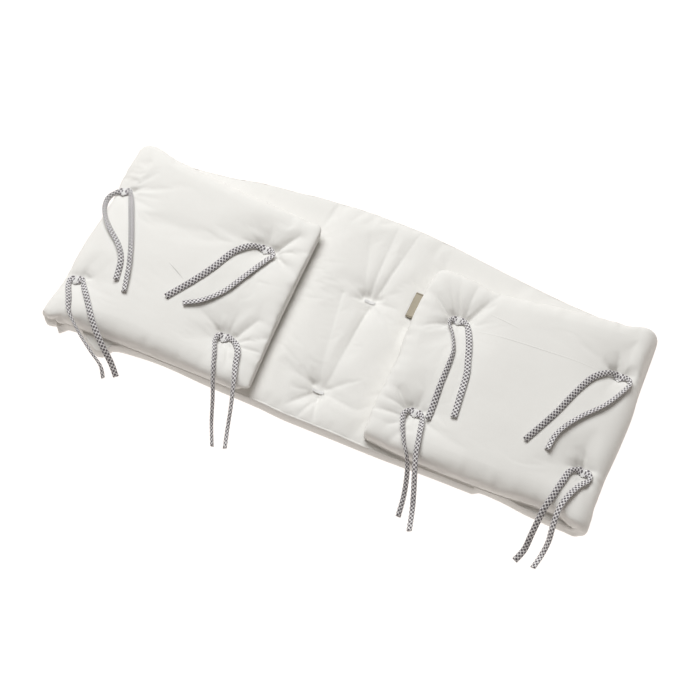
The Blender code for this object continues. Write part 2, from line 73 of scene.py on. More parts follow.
# a shader socket that Python's own operators work on
class Shade:
    def __init__(self, look, socket):
        self.look, self.socket = look, socket

    def math(self, operation, *others):
        inputs = dict(enumerate((self, *others)))
        return self.look.node("ShaderNodeMath", {"operation": operation}, inputs)

    def clipped(self, low, high):
        return self.math("MAXIMUM", low).math("MINIMUM", high)

    def __add__(self, other):
        return self.math("ADD", other)

    def __sub__(self, other):
        return self.math("SUBTRACT", other)

    def __rsub__(self, other):
        return self.look.node("ShaderNodeMath", {"operation": "SUBTRACT"}, {0: other, 1: self})

    def __mul__(self, other):
        return self.math("MULTIPLY", other)

    def __pow__(self, other):
        return self.math("POWER", other)

    __radd__ = __add__
    __rmul__ = __mul__


class Look:
    def __init__(self, name, roughness=0.9, sheen=0.0, specular=0.3):
        self.material = bpy.data.materials.new(name)
        self.material.use_nodes = True
        self.tree = self.material.node_tree
        self.shader = self.tree.nodes["Principled BSDF"]
        fixed = {"Roughness": roughness, "Sheen Weight": sheen, "Specular IOR Level": specular}
        for socket, value in fixed.items():
            self.shader.inputs[socket].default_value = value

    def node(self, kind, settings, inputs, out=0):
        made = self.tree.nodes.new(kind)
        for key, value in settings.items():
            setattr(made, key, value)
        for key, value in inputs.items():
            self.feed(made.inputs[key], value)
        return Shade(self, made.outputs[out])

    def feed(self, socket, value):
        if isinstance(value, Shade):
            self.tree.links.new(value.socket, socket)
        else:
            socket.default_value = value

    def set(self, name, value):
        self.feed(self.shader.inputs[name], value)

    def clothMap(self):
        # the piece's own map, then its millimetres along, then across or turns around
        uv = self.node("ShaderNodeUVMap", {"uv_map": "cloth"}, {})
        along, across = (self.node("ShaderNodeSeparateXYZ", {}, {0: uv}, out) for out in (0, 1))
        return uv, along, across

    def noise(self, place, scale, detail=2.0, roughness=0.5):
        inputs = {"Vector": place, "Scale": scale, "Detail": detail, "Roughness": roughness}
        return self.node("ShaderNodeTexNoise", {}, inputs)

    def mixColour(self, share, first, second):
        # a colour mix has its colours in sockets 6 and 7 and its result in output 2
        first, second = ((*c, 1) if isinstance(c, tuple) else c for c in (first, second))
        inputs = {0: share, 6: first, 7: second}
        return self.node("ShaderNodeMix", {"data_type": "RGBA"}, inputs, 2)

    def pressedLine(self, x, y, row):
        # one along a thin straight line in the cloth, nought beside it and past its ends
        x0, y0, x1, y1 = row[:4]
        length = math.hypot(x1 - x0, y1 - y0)
        ux, uy = (x1 - x0) / length, (y1 - y0) / length
        go = (x - x0) * ux + (y - y0) * uy
        aside = ((x - x0) * uy - (y - y0) * ux).math("ABSOLUTE")
        near = (1.0 - aside * 0.8).math("MAXIMUM", 0.0)
        within = (1.0 - (go * (2 / length) - 1.0).math("ABSOLUTE") ** 2.0).math("MAXIMUM", 0.0)
        return near * within

    def bump(self, *layers):
        # each layer is (height, distance in metres, strength)
        normal = None
        for height, distance, strength in layers:
            inputs = {"Height": height, "Distance": distance, "Strength": strength}
            if normal:
                inputs["Normal"] = normal
            normal = self.node("ShaderNodeBump", {}, inputs)
        self.set("Normal", normal)


cottonFinish = dict(
    light=(0.855, 0.842, 0.812), dark=(0.80, 0.785, 0.752), roughness=0.92, sheen=0.18,
    thread=0.42,  # millimetres from one thread to the next
    weaveHeight=0.00004, slubHeight=0.00005, rumple=0.0003,  # metres
    slubStretch=(0.35, 2.2, 1.0),
    # pressed lines: where they start and end, in millimetres of cloth, and their depth
    pressed=(
        (165, -29, 135, -45, 0.0011), (84, -30, 95, -62, 0.0004), (1262, 41, 1082, 52, 0.0006),
        (1244, 71, 1200, 64, 0.0006),
    ),
)


def makeCotton(settings):
    look = Look("cotton", settings["roughness"], settings["sheen"], 0.25)
    uv, along, across = look.clothMap()
    perThread = 2 * math.pi / settings["thread"]
    weave = (along * perThread).math("SINE") * (across * perThread).math("SINE")
    mottle = look.noise(uv, 0.035, 3.0, 0.55)
    stretched = look.node("ShaderNodeMapping", {}, {0: uv, "Scale": settings["slubStretch"]})
    slub = look.noise(stretched, 1.0)
    rumple = look.noise(uv, 0.11, 3.0)
    cloth = look.mixColour(mottle * 0.6 + slub * 0.4, settings["dark"], settings["light"])
    look.set("Base Color", cloth)
    lines = [(look.pressedLine(along, across, row), row[4], 0.8) for row in settings["pressed"]]
    look.bump(
        (rumple, settings["rumple"], 0.55), *lines,
        (slub, settings["slubHeight"], 0.4), (weave, settings["weaveHeight"], 0.35),
    )
    return look.material


# a two-colour check: its length in millimetres, how many go round, and its height in metres
braidFinish = dict(
    grey=(0.14, 0.125, 0.138), white=(0.9, 0.885, 0.88), roughness=0.8,
    period=5.3, around=4, height=0.00022,
)


def makeBraid(settings):
    look = Look("braid", settings["roughness"], 0.15, 0.3)
    uv, along, around = look.clothMap()
    turns = along * (1 / settings["period"])
    sides = around * float(settings["around"])
    one = ((turns + sides) * math.pi).math("SINE")
    other = ((turns - sides) * math.pi).math("SINE")
    crossing = (one * other).math("ABSOLUTE")
    # the white strands are greyer in places at a fine scale, and a slow noise paints sheen and
    # shade along the braid, lighter in some stretches and greyer in others
    white = (1.5 - crossing * 3.0).clipped(0.0, 1.0)
    white = white * (0.72 + look.noise(uv, 1.7) * 0.5) * (0.6 + look.noise(uv, 0.05, 1.0) * 0.8)
    strands = look.mixColour(white.math("MINIMUM", 1.0), settings["grey"], settings["white"])
    look.set("Base Color", strands)
    look.bump((crossing, settings["height"], 0.7))
    return look.material


threadFinish = dict(
    light=(0.88, 0.87, 0.855), dark=(0.70, 0.69, 0.68), roughness=0.62, turns=6.0, height=0.00008,
)


def makeThread(settings):
    # fine parallel threads along the piece's own length
    look = Look("thread", settings["roughness"], 0.2, 0.4)
    uv, along, around = look.clothMap()
    twist = (along * 1.1 + around * settings["turns"]).math("FRACT")
    shine = look.noise(uv, 1.1) * 0.7 + twist * 0.3
    look.set("Base Color", look.mixColour(shine, settings["dark"], settings["light"]))
    look.bump((twist, settings["height"], 0.5))
    return look.material


labelFinish = dict(
    # the last colour is painted shadow near the label's short ends
    tape=(0.50, 0.445, 0.35), rib=(0.34, 0.30, 0.225), paintedEndShadow=(0.15, 0.125, 0.09),
    roughness=0.75, height=0.00012,
    ribs=0.9, wefts=0.5, middle=20.0, paintedShadowOut=18.2,  # millimetres along the label
)


def makeTape(settings):
    look = Look("woven_tape", settings["roughness"], 0.1, 0.35)
    uv, along, across = look.clothMap()
    rib = (along * (2 * math.pi / settings["ribs"])).math("SINE") * 0.5 + 0.5
    weft = (across * (2 * math.pi / settings["wefts"])).math("SINE") * 0.5 + 0.5
    woven = rib * 0.35 + weft * 0.2 + look.noise(uv, 0.6) * 0.5
    tape = look.mixColour(woven, settings["tape"], settings["rib"])
    # painted shadow: a dark line across the label near both short ends, where its folded ends lie
    # in shade
    paintedEndShadow = (along - settings["middle"]).math("ABSOLUTE") - settings["paintedShadowOut"]
    paintedEndShadow = (1.5 - paintedEndShadow.math("ABSOLUTE") * 1.6).clipped(0.0, 0.8)
    look.set("Base Color", look.mixColour(paintedEndShadow, tape, settings["paintedEndShadow"]))
    look.bump((rib + weft, settings["height"], 0.6))
    return look.material


cottonLook = makeCotton(cottonFinish)
braidLook = makeBraid(braidFinish)
threadLook = makeThread(threadFinish)
tapeLook = makeTape(labelFinish)
print("finishes made")


def finishPiece(name, bm, material):
    bmesh.ops.recalc_face_normals(bm, faces=bm.faces[:])
    mesh = bpy.data.meshes.new(name)
    bm.to_mesh(mesh)
    bm.free()
    mesh.shade_smooth()
    mesh.materials.append(material)
    piece = bpy.data.objects.new(name, mesh)
    scene.collection.objects.link(piece)
    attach(piece, "root")
    return piece


# the padded band as it lies folded, seen from above
band = dict(
    endLeft=-91.0, turnLeft=-356.5, turnRight=357.5, endRight=71.5,  # X at the band's middle
    turnRadius=11.5, panelMiddle=11.0, crown=2.0, corners=(4.5, 9.0),
    seamLevel=0.9, seamAtFold=0.985,
    leftTurn=((-156, -361), (-112, -356), (0, -356.5), (64, -358), (139, -360.5)),
    rightTurn=((-156, 361), (-112, 356), (7, 357.5), (63, 354.5), (139, 352)),
    leftEnd=((-156, -81), (-60, -87.5), (17, -91), (103, -94)),
    rightEnd=((-156, 79), (-100, 74), (-40, 74), (10, 70), (45, 68), (75, 68.5), (106, 72)),
    # X and Y of the back edge, by part
    back=dict(
        left=(
            (-91, 109), (-118, 112.5), (-148, 115.5), (-188, 118.5), (-248, 124.5), (-300, 130),
            (-331, 134), (-356.5, 138),
        ),
        panel=(
            (-356.5, 138), (-301, 140), (-243, 147), (-201, 156), (-158, 161), (-101, 168),
            (-36, 170), (19, 169.5), (77, 167), (114, 162), (193, 152), (262, 145), (357.5, 141),
        ),
        right=(
            (357.5, 141), (340, 137), (303, 132.5), (255, 126), (200, 116.5), (178, 113),
            (156, 110.5), (118, 116), (90, 117), (71.5, 114),
        ),
    ),
    # and of the front edge
    front=dict(
        left=((-91, -153), (-116, -155), (-330, -155), (-356.5, -158)),
        panel=(
            (-356.5, -158), (-349, -163.4), (-340, -153.4), (-326, -152.4), (-306, -164.4),
            (-292, -172.4), (-284, -174.9), (-274, -159.4), (-262, -155.4), (-206, -151.4),
            (-140, -154.4), (-70, -156.4), (-22, -159.4), (90, -159.4), (180, -157.4),
            (229, -156.9), (238, -151.4), (265, -152.4), (300, -156.4), (357.5, -159),
        ),
        right=(
            (357.5, -157), (336, -150), (292, -151), (265, -154), (180, -156), (135, -155),
            (71.5, -150),
        ),
    ),
    # X, half thickness to the outer face, then to the inner one
    thickness=dict(
        left=(
            (-91, 11.4, 9.6), (-121, 12.6, 11.0), (-220, 13.2, 11.3), (-330, 12.4, 11.3),
            (-356.5, 10.4, 11.2),
        ),
        panel=(
            (-356.5, 10.4, 11.2), (-335, 11.0, 11.2), (-101, 11.0, 11.0), (-84, 11.0, 11.6),
            (-58, 11.0, 14.2), (0, 11.0, 15.0), (45, 11.0, 14.0), (62, 11.0, 12.0),
            (74, 11.0, 11.1), (95, 11.0, 11.0), (335, 11.0, 11.2), (357.5, 9.9, 11.2),
        ),
        right=(
            (357.5, 9.9, 11.2), (332, 11.7, 11.3), (290, 12.8, 11.3), (215, 13.2, 11.3),
            (100, 12.6, 11.2), (71.5, 11.4, 10.2),
        ),
    ),
    # inset from the edge, share of the depth: a steep side outside, a soft roll inside,
    # and on the panel a side that leans out over the floor
    outerRim=(
        (1.2, 0), (0.5, 0.08), (0.1, 0.16), (0, 0.26), (0.1, 0.4), (0.5, 0.56), (1.6, 0.7),
        (3.4, 0.81), (6, 0.89), (10, 0.95), (15.5, 0.985), (22, 1),
    ),
    panelRim=(2.6, 1.7, 1.1, 0.7, 0.3, 0, 0.2, 0.9, 2.2, 4.8, 10, 22),
    foldRim=(0.8, 0.4, 0.1, 0, 0.1, 0.2, 0.5, 1.1, 2.2, 4.6, 11, 22),
    endRim=(1.0, 0.5, 0.1, 0, 0.1, 0.3, 0.9, 1.9, 3.5, 6.6, 12.5, 22),
    leftEndInner=(1.0, 0.5, 0.2, 0, 0.1, 0.4, 1.0, 1.9, 3.4, 6.2, 12, 22),
    innerRim=(
        (1.2, 0), (2.0, 0.18), (3.0, 0.31), (4.2, 0.42), (5.6, 0.53), (7.2, 0.63), (9, 0.72),
        (11, 0.8), (13.2, 0.87), (15.6, 0.93), (18.6, 0.98), (22, 1),
    ),
    # part, from, to, spacing of the cloth's grid along the band
    runs=(
        ("left", -113, -190, 1.9), ("left", -190, -325, 4.0), ("left", -325, -356.5, 2.0),
        ("left_turn", 0, 180, 14), ("panel", -356.5, -100, 7.5), ("panel", -100, -42, 2.6),
        ("panel", -42, 45, 1.9), ("panel", 45, 84, 2.6), ("panel", 84, 357.5, 7.5),
        ("right_turn", 0, 180, 14), ("right", 357.5, 318, 2.0), ("right", 318, 170, 4.0),
        ("right", 170, 90, 1.9),
    ),
    linesAcross=124,
)
turnLength = math.pi * band["turnRadius"]
leftStop = band["endLeft"] - band["turnLeft"]
panelStart = leftStop + turnLength
panelStop = panelStart + band["turnRight"] - band["turnLeft"]
rightStart = panelStop + turnLength
bandLength = rightStart + band["turnRight"] - band["endRight"]
leftFold, rightFold = leftStop + turnLength / 2, panelStop + turnLength / 2  # their middles
rims = {name: np.array(band[name]) for name in band if name.endswith(("Rim", "Inner"))}
rimRows = len(band["outerRim"]) - 1
faceRow = 99  # stands for the rows that lie on the face, inside the rim


def alongOf(part, x):
    return {
        "left": band["endLeft"] - x,
        "left_turn": leftStop + turnLength * x / 180,
        "panel": panelStart + x - band["turnLeft"],
        "right_turn": panelStop + turnLength * x / 180,
        "right": rightStart + band["turnRight"] - x,
    }[part]


def bandCurve(key, column):
    # a curve along the band through one column of a table
    rows = [(part, row) for part in band[key] for row in band[key][part]]
    return smoothCurve([(alongOf(part, row[0]), row[column]) for part, row in rows])


leftTurnX, rightTurnX = smoothCurve(band["leftTurn"]), smoothCurve(band["rightTurn"])
leftEndX, rightEndX = smoothCurve(band["leftEnd"]), smoothCurve(band["rightEnd"])
backEdge, frontEdge = bandCurve("back", 1), bandCurve("front", 1)
outerHalf, innerHalf = bandCurve("thickness", 1), bandCurve("thickness", 2)


def foldBand(along, y):
    # the middle of the cloth at each place, and where its inner face looks
    turnAngle = np.where(
        along < (panelStart + panelStop) / 2,
        np.clip((along - leftStop) / turnLength, 0, 1) * math.pi,
        -math.pi + np.clip((along - panelStop) / turnLength, 0, 1) * math.pi,
    )
    inwards = np.stack([np.sin(turnAngle), np.zeros_like(along), -np.cos(turnAngle)], 1)
    leftShare = np.clip(along / leftStop, 0, 1)
    panelShare = np.clip((along - panelStart) / (panelStop - panelStart), 0, 1)
    rightShare = np.clip((along - rightStart) / (bandLength - rightStart), 0, 1)
    leftX = leftEndX(y) * (1 - leftShare) + leftTurnX(y) * leftShare
    panelX = leftTurnX(y) * (1 - panelShare) + rightTurnX(y) * panelShare
    rightX = rightTurnX(y) * (1 - rightShare) + rightEndX(y) * rightShare
    x = np.where(along > rightStart, rightX, np.where(along > panelStart, panelX, leftX))
    onLeftTurn = (along > leftStop) & (along < panelStart)
    onTurn = onLeftTurn | ((along > panelStop) & (along < rightStart))
    centre = np.stack([x, y, np.full_like(x, band["panelMiddle"] + band["turnRadius"])], 1)
    middle = centre - band["turnRadius"] * inwards
    middle[:, 0] = np.where(onTurn, middle[:, 0], x)
    return middle, inwards


def shownPart(along):
    # 0 the left flap, 1 the panel, 2 the right flap
    return np.where(along < leftFold, 0, np.where(along > rightFold, 2, 1))


def widthAt(along):
    # the band's front and back edge, with its corners drawn in
    low, high = frontEdge(along), backEdge(along)
    drawn = []
    for radius in band["corners"]:
        reach = np.maximum(radius - np.minimum(along, bandLength - along), 0)
        drawn.append(radius - np.sqrt(np.maximum(radius**2 - reach**2, 0)))
    return low + drawn[0], high - drawn[1]


# name, face, x, y, depth, reach
tacks = (
    ("tack_1", 0, -365, 53, 9.0, 16), ("tack_2", 0, -357.5, -98, 9.0, 16),
    ("tack_3", 0, -150, 47, 13.5, 21), ("tack_4", 0, -142, -97, 13.5, 19),
    ("tack_5", 2, 126, 50, 14.0, 22), ("tack_6", 2, 127, -97, 13.5, 19),
    ("tack_7", 2, 345, 57, 11.0, 17), ("tack_8", 2, 350, -88, 11.0, 17),
    ("panel_tack_1", 1, 4, 41, 12.0, 19), ("panel_tack_2", 1, -3, -108, 12.0, 19),
)
# face, x and y where it starts, x and y where it ends, depth, width
creases = (
    # soft hollows
    (0, -350, 22, -175, 32, 1.8, 26), (0, -139, 49, -112, 84, 3.0, 13),
    (0, -131, -92, -108, -66, 3.0, 12), (2, 118, 57, 90, 80, 3.0, 13),
    (2, 134, 58, 152, 96, 2.6, 12), (2, 117, -88, 92, -74, 3.0, 12), (2, 341, 64, 326, 84, 3.4, 11),
    (2, 346, -78, 330, -60, 3.4, 11), (0, -361, 60, -354, 76, 2.4, 9), (1, 6, 22, 3, -98, 3.2, 15),
    (1, -6, 44, -30, 60, 2.4, 10), (1, -6, -98, -14, -70, 3.0, 11),
    (1, -5, -118, -24, -138, 3.4, 9), (1, 7, 48, 14, 80, 1.6, 9),
    # sharp folds that run out from the tacks
    (0, -356, 60, -340, 69, 2.6, 4.6), (0, -350, -86, -337, -91, 2.0, 4.6),
    (0, -138, 51, -112, 87, 3.2, 5.5), (0, -136, 53, -122, 74, 1.8, 4),
    (0, -134, 47, -92, 62, 2.6, 5), (0, -132, 42, -95, 22, 2.6, 5), (0, -132, 40, -111, 24, 1.8, 4),
    (0, -148, 51, -155, 82, 1.8, 4.5), (0, -152, 51, -168, 74, 1.6, 5),
    (0, -164, 50, -184, 46, 2.6, 5), (0, -134, -8, -91, -2, 1.0, 6),
    (0, -128, -90, -105, -50, 2.8, 5), (0, -121, -96, -88, -79, 2.6, 5),
    (0, -121, -104, -86, -101, 2.4, 5), (0, -130, -108, -118, -142, 1.8, 5),
    (0, -152, -90, -184, -76, 2.2, 5.5), (0, -139, -86, -138, -58, 1.6, 5),
    (2, 114, 51, 76, 76, 3.4, 5), (2, 116, 42, 90, 23, 2.8, 5), (2, 117, 42, 107, 26, 1.6, 4),
    (2, 120, 56, 97, 92, 2.0, 4.5), (2, 125, 56, 108, 99, 1.6, 4.5),
    (2, 131, 57, 131, 108, 1.6, 4.5), (2, 137, 57, 163, 106, 3.2, 5.5),
    (2, 140, 53, 157, 88, 2.0, 4.5), (2, 116, -95, 84, -67, 3.2, 5), (2, 113, -95, 84, -94, 2.2, 5),
    (2, 118, -107, 74, -114, 2.8, 5), (2, 120, -114, 101, -130, 2.0, 5),
    (2, 124, -126, 112, -149, 1.6, 5), (2, 148, -108, 170, -116, 1.4, 5),
    (2, 127, -88, 126, -60, 1.4, 5), (2, 344, 56, 320, 70, 3.4, 5), (2, 339, 64, 336, 82, 2.6, 4.6),
    (2, 357, 57, 364, 76, 2.6, 5), (2, 345, -85, 324, -89, 3.0, 5),
    (2, 348, -81, 343, -62, 2.6, 4.6), (2, 358, -86, 364, -72, 2.2, 5),
    (2, 358, -98, 368, -124, 2.0, 6), (1, 1, 48, -5, 164, 2.0, 5), (1, 11, 48, 26, 164, 2.2, 5),
    (1, -6, 46, -40, 152, 1.2, 5), (1, 8, 32, 4, -104, 3.0, 5.5), (1, -33, 35, -8, -98, 1.4, 5),
    (1, -8, 40, -22, 34, 1.6, 5), (1, 16, 42, 44, 40, 1.4, 5), (1, 0, -116, 10, -156, 2.2, 5),
    (1, -10, -114, -32, -146, 2.6, 5), (1, 8, -110, 52, -118, 1.6, 5),
    (1, 2, -116, -12, -156, 1.8, 5), (1, -14, -100, -46, -98, 1.4, 5), (1, 60, 18, 62, -22, 0.8, 5),
    (1, -95, 164, -99, 122, 1.6, 6), (1, -62, 160, -70, 120, 0.8, 6),
)


def tackRoot(face, x, y):
    # where a tack's middle meets the cloth as it is laid
    low, high = ((0, leftFold), (panelStart, panelStop), (rightFold, bandLength))[face]
    places = np.linspace(low, high, 2000)
    middle, inwards = foldBand(places, np.full_like(places, y))
    half = innerHalf(places) if face == 1 else -outerHalf(places)
    points = middle + half[:, None] * inwards
    return points[np.argmin(abs(points[:, 0] - x))]


# creases are as deep as the strength says, with a core this wide and a raised shoulder;
# puckers gather round each tack, and a pit lies on both sides of it
folds = dict(
    core=2.3, shoulder=0.22, strength=1.25, softFrom=8, holdWidth=2.6,
    pucker=0.9, puckers=11, puckerReach=30, puckerStart=5,
    pit=2.6, pitAside=10, pitBehind=7, pitSize=(6.5, 4.0),
)


def relief(points, shown):
    # how far the tacks and creases pull the cloth in, and where a crease holds it down
    depth, hold = np.zeros(len(points)), np.zeros(len(points))
    for k, (name, part, x, y, deep, reach) in enumerate(tacks):
        offset = points - tackRoot(part, x, y)
        away = np.linalg.norm(offset, axis=1)
        turn = np.arctan2(offset[:, 1], offset[:, 0])
        uneven = 0.9 * np.sin(2 * turn + k) + 0.6 * np.sin(3 * turn + 2 * k)
        gather = folds["pucker"] * (1 - np.abs(np.sin(turn * folds["puckers"] / 2 + uneven)))
        gather *= np.clip((away - folds["puckerStart"]) / 8, 0, 1)
        gather *= np.exp(-((away / folds["puckerReach"]) ** 2))
        depth += np.where(shown == part, deep * np.exp(-((away / reach) ** 1.4)) + gather, 0)
        # the cord's turns press a pit into the cloth on both sides
        for side in (-1, 1):
            pit = offset[:, :2] - [side * folds["pitAside"], folds["pitBehind"]]
            pit = pit / folds["pitSize"]
            depth += np.where(shown == part, folds["pit"] * np.exp(-(pit**2).sum(1)), 0)
    for part, x0, y0, x1, y1, deep, width in creases:
        run = np.array([x1 - x0, y1 - y0], float)
        start = points[:, :2] - np.array([x0, y0], float)
        share = np.clip(start @ run / (run @ run), 0, 1)
        away = np.linalg.norm(start - share[:, None] * run, axis=1) / width
        fade = np.sqrt(1 - 0.96 * share)
        if width > folds["softFrom"]:
            depth += np.where(shown == part, deep * fade * np.exp(-(away**2)), 0)
            continue
        # a sharp line at the bottom, and cloth that swells up beside it
        valley = 0.5 * np.exp(-((away * width / folds["core"]) ** 2)) + 0.65 * np.exp(-(away**1.2))
        valley -= folds["shoulder"] * np.exp(-(((away - 2.2) / 1.0) ** 2))
        depth += np.where(shown == part, folds["strength"] * deep * fade * valley, 0)
        if deep > 1:
            held = 0.8 * fade * np.exp(-((away * width / folds["holdWidth"]) ** 2))
            hold = np.maximum(hold, np.where(shown == part, held, 0))
    return depth, hold


def ripple(place, seed, longest, shortest):
    # a few waves of unlike length that never repeat along a seam
    chance = np.random.default_rng(seed)
    total = np.zeros_like(place)
    for length in np.geomspace(longest, shortest, 6):
        length *= chance.uniform(0.85, 1.15)
        total += np.sin(2 * np.pi * place / length + chance.uniform(0, 6.28))
    return total / 3.0


# waves along the seams, and how far the whole face sags between them
edgeLook = dict(wave=0.75, longest=44, shortest=15, reach=13, sag=0.5)
# how much the front of each fold is crumpled, how far along the edge, and the size of a crumple
crumples = dict(left=4.2, right=2.2, reach=34, size=15, deep=26)


def edgeWaves(place, away, seed):
    wave = ripple(place, seed, edgeLook["longest"], edgeLook["shortest"])
    return edgeLook["wave"] * wave * np.exp(-away / edgeLook["reach"])


def crumple(points, along, y, low):
    # sharp little folds where the band's front edge turns over
    amount = crumples["left"] * np.exp(-(((along - leftFold) / crumples["reach"]) ** 4))
    amount += crumples["right"] * np.exp(-(((along - rightFold) / crumples["reach"]) ** 4))
    amount *= np.exp(-(((y - low) / crumples["deep"]) ** 2))
    push = np.zeros_like(points)
    for k in np.flatnonzero(amount > 0.1):
        place = Vector(points[k]) / crumples["size"]
        ridge = [1 - 2 * abs(noise.noise(place + Vector((9 * n, 4, 2)))) ** 0.7 for n in range(2)]
        push[k] = (0.3 * ridge[0] * amount[k], (ridge[1] - 0.2) * amount[k], 0)
    return push


def padGrid():
    # grid lines along and across: (row of the rim or of the face, from which end, place)
    def withRims(places):
        first = [(k, 0, 0.0) for k in range(rimRows)]
        last = [(rimRows - 1 - k, 1, 0.0) for k in range(rimRows)]
        return np.array(first + [(faceRow, 0, place) for place in places] + last)

    places = []
    for part, start, stop, step in band["runs"]:
        first, last = alongOf(part, start), alongOf(part, stop)
        count = max(2, round(abs(stop - start) / step))
        places += list(np.linspace(first, last, count, endpoint=False))
    part, start, stop, step = band["runs"][-1]
    places.append(alongOf(part, stop))
    return withRims(places), withRims(np.linspace(0, 1, band["linesAcross"] + 1))


def faceInsets(line, cross, inner):
    # how far along the band each line is, and how far in from its long edges
    lineRow, crossRow = line[:, 0].astype(int), cross[:, 0].astype(int)
    atLine, atCross = np.minimum(lineRow, rimRows), np.minimum(crossRow, rimRows)
    onSeam = (lineRow == 0) | (crossRow == 0)
    farEnd = line[:, 1] > 0
    endInset = rims["endRim"][atLine]
    if inner:
        inside = np.where(farEnd, rims["innerRim"][atLine, 0], rims["leftEndInner"][atLine])
        endInset = np.where(onSeam, endInset, inside)
    fromEnd = np.where(farEnd, bandLength - endInset, endInset)
    along = np.where(lineRow < faceRow, fromEnd, line[:, 2])
    # the panel's side leans out, and beside a fold the side is crisp
    intoPanel = np.minimum(along - leftStop, panelStop - along) + turnLength / 2
    leaning = np.clip(0.5 + intoPanel / 40, 0, 1)
    toFold = np.minimum(abs(along - leftFold), abs(along - rightFold))
    crisp = np.clip(1.6 - toFold / 32, 0, 1)
    inset = rims["outerRim"][atCross, 0] * (1 - crisp) + rims["foldRim"][atCross] * crisp
    inset = inset * (1 - leaning) + rims["panelRim"][atCross] * leaning
    if inner:
        inward = rims["innerRim"][atCross, 0]
        widest = rims["innerRim"][-1, 0]
        inset = np.where(onSeam, inset, inward + 1.4 * leaning * (1 - inward / widest))
    return along, inset, toFold


def clothFace(line, cross, inner):
    # one face's points, their places on the flat band, and how free each is to puff up
    rim = rims["innerRim" if inner else "outerRim"]
    along, inset, toFold = faceInsets(line, cross, inner)
    low, high = widthAt(along)
    last = rim[-1, 0]
    inside = (low + last) * (1 - cross[:, 2]) + (high - last) * cross[:, 2]
    nearEdge = np.where(cross[:, 1] > 0, high - inset, low + inset)
    y = np.where(cross[:, 0] < faceRow, nearEdge, inside)
    middle, inwards = foldBand(along, y)
    outer, innerSide = outerHalf(along), innerHalf(along)
    shown = shownPart(along)
    swell = band["crown"] * (1 - ((2 * y - low - high) / (high - low)) ** 4)
    # share of the way from the seam to the full thickness
    share = np.ones(len(line))
    for rows in (line[:, 0], cross[:, 0]):
        atRow = np.minimum(rows, rimRows).astype(int)
        share = np.minimum(share, np.where(rows < faceRow, rim[atRow, 1], 1.0))
    if inner:
        raised = np.clip((innerSide - 11.2) / 3, 0, 1)  # only the panel's bare middle swells
        level = innerSide + np.where(shown == 1, swell * raised, 0)
    else:
        level = -outer - np.where(shown != 1, swell, 0)
    # the seam is lower in the side at the left end, and drawn in between the layers at a fold
    drawnIn = np.clip(1.9 - toFold / 30, 0, 1)
    seamShare = band["seamLevel"] + (band["seamAtFold"] - band["seamLevel"]) * drawnIn
    seamShare -= 0.68 * np.exp(-((along / 14) ** 4))
    seam = -outer + seamShare * (outer + innerSide)
    points = middle + (seam + (level - seam) * share)[:, None] * inwards
    visible = (shown == 1) & (innerSide > 11.05) if inner else shown != 1
    # small waves run in from the seams, and slow ones over the whole face
    waves = edgeWaves(along, np.minimum(y - low, high - y), 3)
    waves += edgeWaves(y, np.minimum(along, bandLength - along), 5)
    slow = edgeLook["sag"] * ripple(along * 0.8 + y * 0.6, 7, 210, 90)
    slow *= ripple(y - along * 0.35, 9, 190, 80)
    pulled, hold = relief(points, shown)
    pulled = np.where(visible, pulled + waves + slow, 0) * share
    points += (pulled * (-1 if inner else 1))[:, None] * inwards
    points += crumple(points, along, y, low)
    return points, along, y, np.where(visible & (share > 0.05), 1 - hold, 0)


def makeBandMesh():
    # two grids, one for each face of the cloth, laid in place and sewn together at the rim
    lines, crosses = padGrid()
    lastLine, lastCross = len(lines) - 1, len(crosses) - 1
    bm = bmesh.new()
    for level in (0, 1):
        made = bmesh.ops.create_grid(bm, x_segments=lastLine, y_segments=lastCross, size=0.5)
        bmesh.ops.translate(bm, verts=made["verts"], vec=(0, 0, level))
    mesh = bpy.data.meshes.new("cot_pad")
    bm.to_mesh(mesh)
    bm.free()
    flat = np.empty(len(mesh.vertices) * 3)
    mesh.vertices.foreach_get("co", flat)
    flat = flat.reshape(-1, 3)
    line = lines[np.rint((flat[:, 0] + 0.5) * lastLine).astype(int)]
    cross = crosses[np.rint((flat[:, 1] + 0.5) * lastCross).astype(int)]
    inner = flat[:, 2] > 0.5
    points, cloth = np.empty_like(flat), np.zeros_like(flat)
    free, covered = np.zeros(len(flat)), np.zeros(len(flat))
    for side in (False, True):
        chosen = inner == side
        place, along, y, visible = clothFace(line[chosen], cross[chosen], side)
        points[chosen] = place
        cloth[chosen] = np.stack([along, y, np.full_like(y, float(side))], 1)
        free[chosen] = visible
        onFace = (line[chosen, 0] == faceRow) & (cross[chosen, 0] == faceRow)
        covered[chosen] = onFace & ((shownPart(along) == 1) != side)
    mesh.vertices.foreach_set("co", ((points + originShift) * mm).ravel())
    for name, kind, values, field in (
        ("place", "FLOAT_VECTOR", cloth, "vector"), ("free", "FLOAT", free, "value"),
        ("covered", "FLOAT", covered, "value"),
    ):
        mesh.attributes.new(name, kind, "POINT").data.foreach_set(field, values.ravel())
    bm = bmesh.new()
    bm.from_mesh(mesh)
    bmesh.ops.remove_doubles(bm, verts=bm.verts[:], dist=1e-6)
    bpy.data.meshes.remove(mesh)
    # the flat faces that lie on each other or on the floor need few corners
    layer = bm.verts.layers.float["covered"]
    hidden = [vert for vert in bm.verts if vert[layer] > 0.5]
    edges = [edge for edge in bm.edges if all(vert[layer] > 0.5 for vert in edge.verts)]
    bmesh.ops.dissolve_limit(bm, angle_limit=math.radians(1.2), verts=hidden, edges=edges)
    return bm


pad = finishPiece("padded_band", makeBandMesh(), cottonLook)
print("band laid:", len(pad.data.vertices), "corners")

# pressure in the cover, how much it may grow, and how stiff it is; lengths in millimetres
puffing = dict(
    pressure=3.2, grow=0.003, bending=1.5, stretching=12, shearing=6, mass=0.2, quality=6,
    frames=14, furthest=5.0, tackReach=4.0, labelAt=(58.0, 55.0), labelReach=(22.0, 34.0),
)


